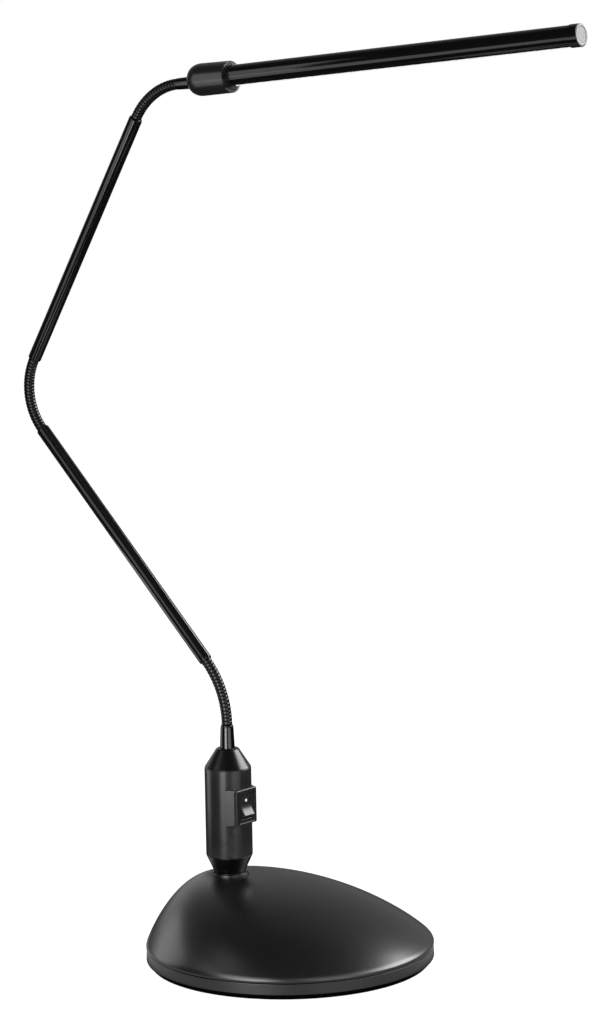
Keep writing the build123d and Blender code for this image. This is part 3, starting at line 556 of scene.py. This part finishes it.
def rocker_outline():
    """The rocker's side, half-way between its stops: a hollowed face between two swinging ends."""
    swing, face, heel = 8.0, 3.2, -2.0      # the ends' radius; face and heel as seen from the pivot
    tilt = math.radians(ROCKER_THROW / 2)
    reach = math.sqrt(swing ** 2 - face ** 2)
    tip = Vector((face * math.cos(tilt) + reach * math.sin(tilt),
                  reach * math.cos(tilt) - face * math.sin(tilt)))
    valley = face / math.cos(tilt)
    points = []
    for k in range(25):              # the face is one even hollow from tip to tip
        z = -tip.y + 2 * tip.y * k / 24
        points.append(Vector((valley + (tip.x - valley) * abs(z / tip.y) ** 1.8, z)))
    start, end = math.atan2(tip.y, tip.x), math.atan2(math.sqrt(swing ** 2 - heel ** 2), heel)
    for k in range(1, 9):
        a = start + (end - start) * k / 8
        points.append(Vector((swing * math.cos(a), swing * math.sin(a))))
    return points + [Vector((p.x, -p.y)) for p in reversed(points[25:])]


def inset(outline, distance):
    """The outline moved inwards along its corners' bisectors."""
    moved, count = [], len(outline)
    for i, p in enumerate(outline):
        a, b = (p - outline[i - 1]).normalized(), (outline[(i + 1) % count] - p).normalized()
        normal = Vector((-(a.y + b.y), a.x + b.x)).normalized()
        moved.append(p + normal * distance)
    return moved


def rocker():
    outline = rocker_outline()
    area = sum(a.x * b.y - a.y * b.x for a, b in zip(outline, outline[1:] + outline[:1]))
    sign = 1 if area > 0 else -1
    rings = []
    # how far out each section is, and how deep the rounding is there
    flank = ((4.9, 0.4), (4.82, 0.17), (4.65, 0.05), (4.4, 0))
    for y, depth in [(-y, depth) for y, depth in flank] + list(reversed(flank)):
        rings.append([Vector((p.x, y, p.y)) for p in (inset(outline, sign * depth) if depth else outline)])
    return loft("lamp_switch_rocker", rings, ROCKER_PLACE)


dress(rocker(), "rocker", ROCKER, "switch_plastic", "switch_rocker", crease=40)
DOT_R, DOT_UP, DOT_OUT, DOT_LEAN = 1.0, 4.3, 3.0, 94
dot_place = (ROCKER_PLACE @ Matrix.Rotation(math.radians(ROCKER_THROW / 2), 4, "Y")
             @ Matrix.Translation((DOT_OUT, 0, DOT_UP)) @ Matrix.Rotation(math.radians(DOT_LEAN), 4, "Y"))
dress(turned("lamp_rocker_dot", [(0, -0.5), (DOT_R, -0.5), (DOT_R, 0.06, 0.06), (0, 0.1)], dot_place,
             turns=48), "rocker", PRINT, "dot_white", "rocker_dot")

# ---------------------------------------------------------------- column's top
dress(turned("lamp_column_cap", [(3.05, CAP_TOP, 0.15), (7.4, CAP_TOP, 1.6), (SHELL_R, SHELL_TOP, 0.3),
                                 (SPIGOT_R, SHELL_TOP), (SPIGOT_R, 122.1), (11.15, 122.1),
                                 (11.15, SHELL_TOP), (6.3, 136.7), (3.05, 136.7)], ON_COLUMN),
      "column", GLOSS, "gloss_black", "column_cap")
dress(turned("lamp_column_ferrule", [(0.75, 132.9), (3.0, 132.9), (3.0, CAP_TOP), (4.95, CAP_TOP, 0.2),
                                     (4.35, 153.0, 0.4), (3.95, FERRULE_TOP, 0.25), (0.75, FERRULE_TOP)],
             ON_COLUMN),
      "column", FERRULE, "ferrule_metal", "column_ferrule")


# ---------------------------------------------------------------- necks
CREST, VALLEY, HIDDEN = 3.62, 3.32, 3.0
RIDGE_PITCH = 2.35


def neck_piece(name, start, length, turn, low, high, ridges, nodes):
    """A stretch of coil from low to high along the neck's arc, between two bodies.
    What sits inside a tube or ferrule is thinner, so that it stays hidden when the neck bends."""
    samples, turns = 12, 64
    rings = []
    for k in range(ridges * samples + 1):
        s = low + (high - low) * k / (ridges * samples)
        x, z, heading = bent(start, s, turn * s / length)
        swell = abs(math.sin(math.pi * k / samples)) ** 0.5
        radius = VALLEY + (CREST - VALLEY) * swell if 0 <= s <= length + 0.6 else HIDDEN
        place = aimed(x, z, heading)
        rings.append([place @ p for p in ring_at(radius, 0, turns=turns)])
    thing = loft(name, rings)
    dress(thing, None, COIL, "neck_coil", *nodes, crease=60, even=False)
    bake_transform(thing)


def neck(label, start, length, turn):
    seat, hinges = 2.5, 5
    step = (length - seat) / (hinges - 1)
    # each stretch has its hinge in its middle; the bending ones, 1, 3 and 5, are the longer ones
    reach = 0.65 * step
    cuts = [seat - reach]
    cuts += [seat + step * i + (reach if i % 2 == 0 else step - reach) for i in range(hinges)]
    for i in range(hinges):
        ridges = max(1, round((cuts[i + 1] - cuts[i]) / RIDGE_PITCH))
        nodes = [f"neck_{label}_link_{i + 1}"] if i < hinges - 1 else []
        neck_piece(f"lamp_neck_{label}_{i + 1}", start, length, turn, cuts[i], cuts[i + 1], ridges,
                   nodes)


neck("lower", neck_lower, LOWER_NECK, LOWER_TURN)
neck("middle", neck_middle, MIDDLE_NECK, MIDDLE_TURN)
neck("upper", neck_upper, UPPER_NECK, UPPER_TURN)


# ---------------------------------------------------------------- arm tubes
def arm_tube(name, point, length, body, node):
    bore, rim, radius, bevel = 3.95, 4.2, 4.5, 0.7
    corners = [(bore, 0), (rim, 0, 0.1), (radius, bevel, 0.3), (radius, length - bevel, 0.3),
               (rim, length, 0.1), (bore, length)]
    dress(turned(name, corners, aimed(*point)), body, TUBE, "tube_black", node)


arm_tube("lamp_lower_tube", tube_lower, LOWER_TUBE, "lower_arm", "lower_tube")
arm_tube("lamp_upper_tube", tube_upper, UPPER_TUBE, "upper_arm", "upper_tube")

# ---------------------------------------------------------------- head
# places along the head's axis, from the back of the rear cap
REAR_CAP, BARREL_L, CLEAR_FRONT, SLEEVE_FRONT = 8.2, 30.9, 34.0, 34.9
BARREL_R, BARREL_FRONT_R, LAMP_R = 10.6, 10.35, 6.75
TUBE_FRONT = SLEEVE_FRONT + 257.7
RING_REAR = TUBE_FRONT - 6.8

dress(turned("lamp_head_ferrule", [(2.6, -0.8), (3.4, -0.8, 0.15), (3.75, -0.2, 0.3), (4.1, HEAD_FERRULE),
                                   (3.0, HEAD_FERRULE), (3.0, 19.1), (0.75, 19.1), (0.75, 2.6)],
             aimed(*head_start)), "head", FERRULE, "ferrule_metal", "head_ferrule")


def rear_corners():
    """The rounded back of the cap: a quarter of an oval from its flat middle to its rim."""
    flat, steps = 5.6, 12
    quarter = [math.radians(90 * i / steps) for i in range(steps + 1)]
    return [(flat + (BARREL_R - flat) * math.sin(a), REAR_CAP * (1 - math.cos(a))) for a in quarter]


dress(turned("lamp_head_rear_cap", [(0, 0)] + rear_corners() + [(8.3, REAR_CAP), (8.3, 12.2), (6.35, 12.2),
                                                                (6.35, REAR_CAP), (5.2, 2.0), (0, 2.0)],
             HEAD), "head", BARREL, "barrel_plastic", "head_rear_cap")
dress(turned("lamp_head_barrel", [(8.35, REAR_CAP), (BARREL_R, REAR_CAP, 0.12),
                                  (BARREL_FRONT_R, BARREL_L, 0.25), (8.35, BARREL_L)], HEAD),
      "head", BARREL, "barrel_plastic", "head_barrel")


def clear_ring():
    """Round outside about the barrel's axis, with its bore about the lamp tube's."""
    outside = soften([(8.6, BARREL_L), (BARREL_FRONT_R, BARREL_L, 0.1),
                      (BARREL_FRONT_R, BARREL_L + 0.9, 0.5), (7.4, CLEAR_FRONT, 0.3), (7.1, CLEAR_FRONT)],
                     closed=False)
    rings = [ring_at(p.x, p.y) for p in outside]
    for height in (CLEAR_FRONT, BARREL_L):
        middle = -LAMP_LIFT - height * math.sin(math.radians(LAMP_TILT))
        rings.append(ring_at(LAMP_R + 0.1, height, x=middle))
    return loft("lamp_head_clear_ring", rings, HEAD, closed=True)


dress(clear_ring(), "head", CLEAR, "clear_plastic", "head_clear_ring")


def slotted(name, outer, inner, low, high, slot_low, slot_high, half_width, place):
    """A tube along Z with a lengthwise slot facing +X."""
    steps = 24                       # along the slot
    edge = math.asin(half_width / outer)
    angles = sorted(set([round(edge + (2 * math.pi - 2 * edge) * i / 110, 9) for i in range(111)]
                        + [round(edge * (2 * i / 8 - 1) % (2 * math.pi), 9) for i in range(9)]))
    angles = [a for k, a in enumerate(angles) if k == 0 or a - angles[k - 1] > 1e-5]
    levels = [low] + [slot_low + (slot_high - slot_low) * i / steps for i in range(steps + 1)] + [high]
    shape = bmesh.new()
    walls = [[[shape.verts.new((r * math.cos(a), r * math.sin(a), z)) for a in angles] for z in levels]
             for r in (outer, inner)]
    outside, inside = walls
    count = len(angles)

    def is_open(k, i):
        following = angles[i + 1] if i < count - 1 else angles[0] + 2 * math.pi
        middle = ((angles[i] + following) / 2 + math.pi) % (2 * math.pi) - math.pi
        return 1 <= k <= steps and abs(middle) < edge - 1e-6

    def through(k, i, m, j):
        """A face through the wall, between two neighbours of its grid."""
        shape.faces.new([outside[k][i], outside[m][j], inside[m][j], inside[k][i]])

    for k in range(len(levels) - 1):
        for i in range(count):
            j = (i + 1) % count
            if is_open(k, i):
                for level, beyond in ((k, k - 1), (k + 1, k + 1)):
                    if not is_open(beyond, i):
                        through(level, i, level, j)
                continue
            for wall in walls:
                shape.faces.new([wall[k][i], wall[k][j], wall[k + 1][j], wall[k + 1][i]])
            for side, beyond in ((j, j), (i, (i - 1) % count)):
                if is_open(k, beyond):
                    through(k, side, k + 1, side)
    for i in range(count):
        for k in (0, len(levels) - 1):
            through(k, i, k, (i + 1) % count)
    return mesh_object(name, shape, place)


SLOT_LOW = SLEEVE_FRONT + 0.3
TUBE_REAR, TUBE_WALL = SLEEVE_FRONT - 20.0, 0.8
FIRST_LED, LED_PITCH, STRIP_HALF = SLOT_LOW + 9.1, 9.8, 1.8
dress(slotted("lamp_head_tube", LAMP_R, LAMP_R - TUBE_WALL, TUBE_REAR, RING_REAR + 0.4, SLOT_LOW, RING_REAR,
              STRIP_HALF + 0.05, LAMP), "lamp_tube", TUBE, "tube_black", "head_tube")


def lens_strip():
    """A milky strip in the slot, with a small raised dome over each LED."""
    low, high = SLOT_LOW + 0.05, RING_REAR - 0.05
    long, wide, rise = 1.3, 1.6, 0.6      # of a dome
    back = LAMP_R - 1.8
    half = math.asin(STRIP_HALF / LAMP_R)
    across = [half * (i / 6 - 1) for i in range(13)]
    count = int((high - low) * 2)
    rings = []
    for k in range(count + 1):
        z = low + (high - low) * k / count
        along = ((z - FIRST_LED) / LED_PITCH + 0.5) % 1 - 0.5
        ring = []
        for a in across:
            near = math.exp(-((along * LED_PITCH / long) ** 2) - (a * LAMP_R / wide) ** 2)
            radius = LAMP_R + 0.02 + rise * near
            ring.append(Vector((radius * math.cos(a), radius * math.sin(a), z)))
        ring += [Vector((back * math.cos(a), back * math.sin(a), z)) for a in reversed(across)]
        rings.append(ring)
    return loft("lamp_lens_strip", rings, LAMP)


dress(lens_strip(), "lamp_tube", LENS, "diffuser_white", "tube_diffuser", crease=50)
dress(turned("lamp_end_ring", [(6.7, RING_REAR), (7.15, RING_REAR, 0.15), (7.15, TUBE_FRONT, 0.2),
                               (6.7, TUBE_FRONT)], LAMP), "lamp_tube", TUBE, "tube_black", "tube_end_ring")
PLUG_R, CAP_R = 5.9, 6.6
dress(turned("lamp_end_cap", [(0, TUBE_FRONT - 4.6), (PLUG_R, TUBE_FRONT - 4.6), (PLUG_R, TUBE_FRONT - 1.6),
                              (CAP_R, TUBE_FRONT - 1.6), (CAP_R, TUBE_FRONT + 0.3, 0.25),
                              (5.6, TUBE_FRONT + 0.3, 0.2), (5.2, TUBE_FRONT + 0.05, 0.2),
                              (0, TUBE_FRONT + 0.05)], LAMP),
      "lamp_tube", FROST, "cap_frosted", "tube_end_cap")


# ---------------------------------------------------------------- floor, light and camera
def seen_rays(tree):
    """1 for rays that show their target to the camera, straight or through something clear."""
    path = tree.nodes.new("ShaderNodeLightPath").outputs
    return combined(tree, "MAXIMUM", path["Is Camera Ray"], path["Is Transmission Ray"])


def glossy_rays(tree):
    return tree.nodes.new("ShaderNodeLightPath").outputs["Is Glossy Ray"]


def stage_floor():
    """White to the camera; mirrored rays find a pale band of it round the base, and dark elsewhere."""
    shape = bmesh.new()
    bmesh.ops.create_grid(shape, x_segments=8, y_segments=8, size=6000)
    floor = mesh_object("floor", shape, Matrix.Identity(4))
    made = bpy.data.materials.new("floor_white")
    made.use_nodes = True
    tree = made.node_tree
    nodes, links = tree.nodes, tree.links
    shader = nodes["Principled BSDF"]
    shader.inputs["Roughness"].default_value = 0.9
    shader.inputs["Specular IOR Level"].default_value = 0.0
    shader.inputs["Emission Color"].default_value = (1, 1, 1, 1)
    paper = nodes.new("ShaderNodeMix")
    paper.data_type = "RGBA"
    paper.inputs[6].default_value, paper.inputs[7].default_value = (0.22, 0.22, 0.22, 1), (0, 0, 0, 1)
    links.new(glossy_rays(tree), paper.inputs["Factor"])
    links.new(paper.outputs[2], shader.inputs["Base Color"])
    reach = nodes.new("ShaderNodeVectorMath")
    reach.operation = "LENGTH"
    links.new(nodes.new("ShaderNodeTexCoord").outputs["Object"], reach.inputs[0])
    far_off = reach.outputs["Value"]
    pale_band = combined(tree, "MULTIPLY", ramp(tree, far_off, 0.1, 0.112, 0, 1),
                         ramp(tree, far_off, 0.15, 0.21, 0.6, 0.03))
    glow = nodes.new("ShaderNodeMath")
    glow.operation = "MULTIPLY_ADD"
    glow.inputs[1].default_value = 0.95
    links.new(seen_rays(tree), glow.inputs[0])
    links.new(combined(tree, "MULTIPLY", glossy_rays(tree), pale_band), glow.inputs[2])
    links.new(glow.outputs[0], shader.inputs["Emission Strength"])
    floor.data.materials.append(made)


def mixed(tree, share, low, high):
    """Low where the share is 0 and high where it is 1; each is a number or another node's value."""
    node = tree.nodes.new("ShaderNodeMix")
    tree.links.new(share, node.inputs["Factor"])
    for socket, value in ((node.inputs[2], low), (node.inputs[3], high)):
        if isinstance(value, float):
            socket.default_value = value
        else:
            tree.links.new(value, socket)
    return node.outputs[0]


def studio_room():
    """White to the camera. Mirrored rays meet a grey wall behind the lamp, a dim one before it and a dark
    room above and beside it, and other rays find it evenly dim."""
    world = bpy.data.worlds.new("studio")
    bpy.context.scene.world = world
    world.use_nodes = True
    tree = world.node_tree
    background = tree.nodes["Background"]
    toward = tree.nodes.new("ShaderNodeVectorMath")
    toward.operation = "DOT_PRODUCT"
    toward.inputs[1].default_value = (0.574, -0.819, 0)
    tree.links.new(tree.nodes.new("ShaderNodeTexCoord").outputs["Generated"], toward.inputs[0])
    before, behind = (ramp(tree, toward.outputs["Value"], near, far, 0.02, level)
                      for near, far, level in ((0.3, 0.9, 0.08), (-0.3, -0.9, 0.27)))
    walls = combined(tree, "ADD", before, behind)
    unseen = mixed(tree, glossy_rays(tree), 0.25, walls)
    background.inputs["Color"].default_value = (1, 1, 1, 1)
    tree.links.new(mixed(tree, seen_rays(tree), unseen, 1.0), background.inputs["Strength"])


stage_floor()
studio_room()


def softbox(name, azimuth, elevation, across, upward, level, distance=1000, aim=(0, 0, 250)):
    """An area lamp that spans these angles as aim sees it, at this azimuth and elevation.
    It shines at aim, and at azimuth 0 it shines along +Y."""
    a, e = math.radians(azimuth), math.radians(elevation)
    back = Vector((math.sin(a) * math.cos(e), -math.cos(a) * math.cos(e), math.sin(e)))
    wide, high = (2 * distance * MM * math.tan(math.radians(span) / 2) for span in (across, upward))
    data = bpy.data.lights.new(name, "AREA")
    data.shape, data.size, data.size_y, data.energy = "RECTANGLE", wide, high, level * math.pi * wide * high
    lamp = bpy.data.objects.new(name, data)
    lamp.location = (Vector(aim) + back * distance) * MM
    lamp.rotation_mode = "QUATERNION"
    lamp.rotation_quaternion = back.to_track_quat("Z", "Y")
    lamp.visible_camera = False
    bpy.context.scene.collection.objects.link(lamp)


softbox("key", 10, 0, 28, 28, 4.8)
softbox("left_back", -118, 8, 40, 26, 0.5)
softbox("right", 67, 0, 36, 28, 1.0)
# these three lean over the base, so the head doesn't mirror them
for side, turn, span, bright in (("key", 11, 24, 3.2), ("left", -73, 26, 1.5), ("right", 74, 37, 1.1)):
    softbox(f"{side}_low", turn, 38, span, 35, bright, distance=405, aim=(COLUMN_X, 0, -150))
softbox("right_back", 141, 29, 44, 26, 9.6, distance=2000)
# these two stand near the head, whose tube and barrel mirror them
softbox("head_fill", -38, -18, 40, 26, 1.1, distance=490, aim=(120, 0, 540))
softbox("barrel_fill", -36, 2, 26, 48, 1.1, distance=300, aim=(-50, 0, 600))

TURN, PITCH, ROLL = math.radians(35.0), math.radians(8.293), math.radians(0.954)
SPOT = (1272.42, -1791.24, 620.75)
PIXELS, FRAME_HIGH = 3413.97, 1024      # focal length and the picture's height in pixels


def place_camera():
    right = Vector((math.cos(TURN), math.sin(TURN), 0))
    ahead = Vector((-math.sin(TURN) * math.cos(PITCH), math.cos(TURN) * math.cos(PITCH), -math.sin(PITCH)))
    above = Vector((-math.sin(TURN) * math.sin(PITCH), math.cos(TURN) * math.sin(PITCH), math.cos(PITCH)))
    image_right = right * math.cos(ROLL) - above * math.sin(ROLL)
    image_up = right * math.sin(ROLL) + above * math.cos(ROLL)
    data = bpy.data.cameras.new("camera")
    data.lens = PIXELS / FRAME_HIGH * data.sensor_width
    data.clip_start, data.clip_end = 0.05, 50
    camera = bpy.data.objects.new("camera", data)
    spot = Vector(SPOT) * MM
    camera.matrix_world = Matrix(((image_right.x, image_up.x, -ahead.x, spot.x),
                                  (image_right.y, image_up.y, -ahead.y, spot.y),
                                  (image_right.z, image_up.z, -ahead.z, spot.z), (0, 0, 0, 1)))
    bpy.context.scene.collection.objects.link(camera)
    bpy.context.scene.camera = camera


place_camera()
bpy.context.scene.view_settings.view_transform = "Standard"
